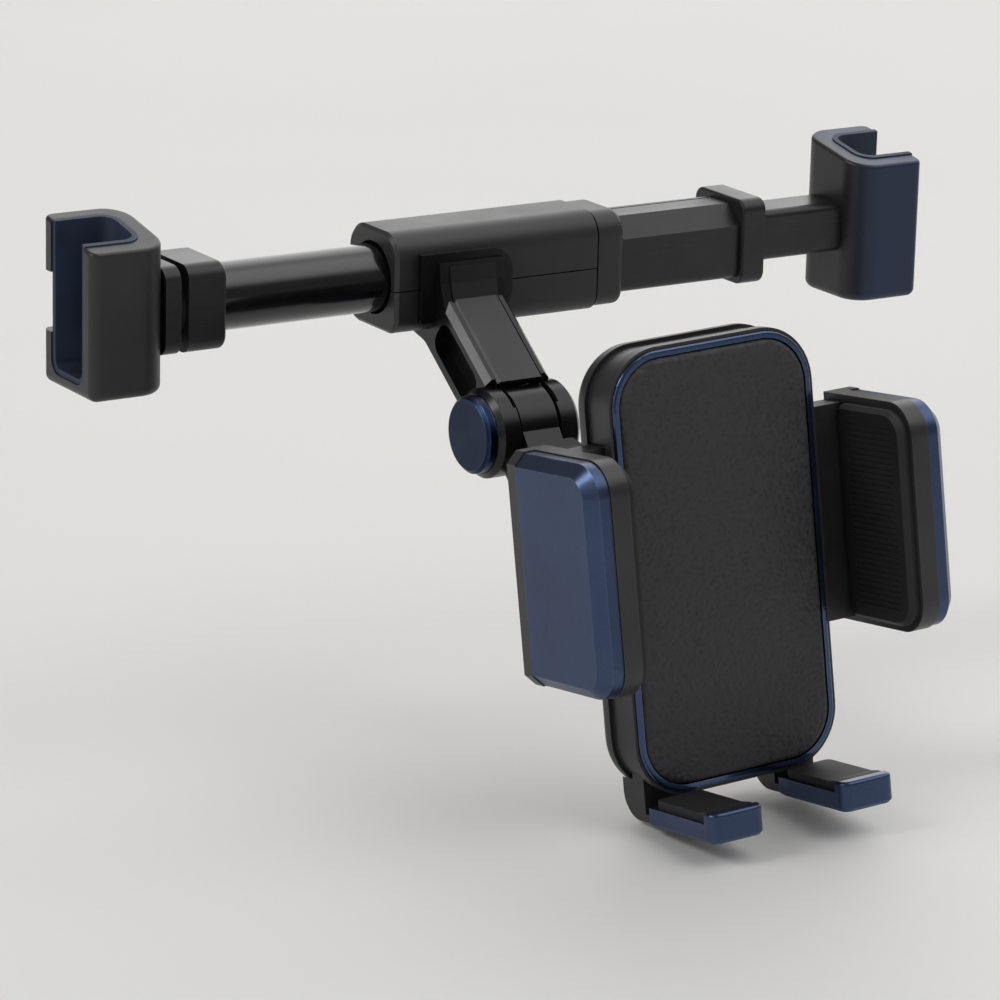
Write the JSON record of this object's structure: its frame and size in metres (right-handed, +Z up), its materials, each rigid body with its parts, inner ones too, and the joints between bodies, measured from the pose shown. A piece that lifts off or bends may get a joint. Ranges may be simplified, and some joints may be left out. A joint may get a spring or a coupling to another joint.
{
  "type": "headrest phone mount",
  "caption": "Telescopic bar with hooks for headrest posts, tilting arm and ball neck, and a phone cradle with geared clamping jaws and support feet.",
  "frame": {"origin": "on the axis of the telescopic bar, midway between the two headrest posts", "axes": "+X along the bar to the right as the passenger sees it, +Y away from the passenger towards the headrest, +Z up"},
  "size_m": [0.2254, 0.141, 0.1224],
  "materials": {
    "hook_black": "satin black plastic with a fine texture",
    "liner_navy": "matte navy soft liner",
    "tube_black": "glossy black lacquered tube",
    "bar_grey": "satin dark grey metal",
    "housing_black": "satin black plastic with a fine texture",
    "arm_black": "satin black metal, bright at the bevels",
    "cover_black": "matte black cover",
    "knob_blue": "spun anodised blue with a bevel",
    "steel": "zinc plated steel",
    "washer": "plain friction washer",
    "cradle_grey": "satin dark grey plastic",
    "trim_blue": "glossy metallic blue trim",
    "pad_black": "black pebbled pad",
    "jaw_blue": "satin metallic blue",
    "jaw_black": "satin black plastic",
    "rubber_black": "ribbed black rubber",
    "gear_white": "self-lubricating gear plastic"
  },
  "bodies": {
    "frame": {"housing_upper": "housing_black", "housing_lower": "housing_black", "housing_screw_left": "steel", "housing_screw_right": "steel", "end_ring": "housing_black", "right_tube": "bar_grey", "snap_ring": "steel", "arm_body": "arm_black", "arm_cover": "cover_black", "friction_washer_left": "washer", "friction_washer_right": "washer", "knuckle_nut": "steel", "clamp_bolt": "steel"},
    "left_carriage": {"left_tube": "tube_black", "left_socket": "bar_grey", "socket_screw": "steel", "left_hook_shell": "hook_black", "left_hook_liner": "liner_navy"},
    "right_carriage": {"inner_bar": "bar_grey", "right_hook_shell": "hook_black", "right_hook_liner": "liner_navy"},
    "collar": {"lock_collar": "bar_grey"},
    "knob": {"clamp_knob": "knob_blue"},
    "link": {"bracket": "arm_black", "ball_stud": "steel"},
    "seat": {"ball_seat": "gear_white", "lock_ring": "jaw_black"},
    "cradle": {"cradle_back": "cradle_grey", "bezel": "cradle_grey", "trim_ring": "trim_blue", "front_pad": "pad_black", "mid_frame_top": "cradle_grey", "mid_frame_bottom": "cradle_grey", "hub_ring": "cradle_grey", "hub_screws": "steel", "left_foot_strut": "cradle_grey", "left_foot_shell": "jaw_blue", "left_foot_pad": "rubber_black", "right_foot_strut": "cradle_grey", "right_foot_shell": "jaw_blue", "right_foot_pad": "rubber_black"},
    "left_jaw": {"left_slide": "jaw_black", "left_jaw_core": "jaw_black", "left_jaw_shell": "jaw_blue", "left_jaw_pad": "rubber_black", "left_jaw_screws": "steel"},
    "right_jaw": {"right_slide": "jaw_black", "right_jaw_core": "jaw_black", "right_jaw_shell": "jaw_blue", "right_jaw_pad": "rubber_black", "right_jaw_screws": "steel"},
    "gear": {"pinion": "gear_white"}
  },
  "joints": [
    {"name": "left_extend", "type": "slide", "parent": "frame", "child": "left_carriage", "axis": [-1, 0, 0], "range_m": [-0.022, 0.006]},
    {"name": "right_extend", "type": "slide", "parent": "frame", "child": "right_carriage", "axis": [1, 0, 0], "range_m": [-0.021, 0.01]},
    {"name": "collar_turn", "type": "hinge", "parent": "frame", "child": "collar", "pos_m": [0.0648, 0, 0], "axis": [1, 0, 0], "range_deg": [0, 30]},
    {"name": "knob_turn", "type": "hinge", "parent": "frame", "child": "knob", "pos_m": [-0.0159, -0.0345, -0.0297], "axis": [1, 0, 0], "range_deg": [0, 90]},
    {"name": "knuckle_tilt", "type": "hinge", "parent": "frame", "child": "link", "pos_m": [-0.0159, -0.0345, -0.0297], "axis": [1, 0, 0], "range_deg": [-30, 35]},
    {"name": "ball_pan", "type": "hinge", "parent": "link", "child": "seat", "pos_m": [-0.002, -0.07494, -0.04918], "axis": [-0.0384, 0.1425, 0.989], "range_deg": [-15, 15]},
    {"name": "face_spin", "type": "hinge", "parent": "seat", "child": "cradle", "pos_m": [-0.002, -0.07494, -0.04918], "axis": [0, 0.9898, -0.1426], "continuous": true},
    {"name": "left_jaw_slide", "type": "slide", "parent": "cradle", "child": "left_jaw", "axis": [-0.9993, -0.0055, -0.038], "range_m": [-0.007, 0.007]},
    {"name": "right_jaw_slide", "type": "slide", "parent": "cradle", "child": "right_jaw", "axis": [0.9993, 0.0055, 0.038], "range_m": [-0.007, 0.007]},
    {"name": "pinion_turn", "type": "hinge", "parent": "cradle", "child": "gear", "pos_m": [-0.00219, -0.09055, -0.04188], "axis": [0, 0.9898, -0.1426], "range_deg": [-68, 68]}
  ],
  "couplings": [
    {"joint": "right_jaw_slide", "follows": "left_jaw_slide", "ratio": 1},
    {"joint": "pinion_turn", "follows": "left_jaw_slide", "rad_per_m": -166.67}
  ]
}
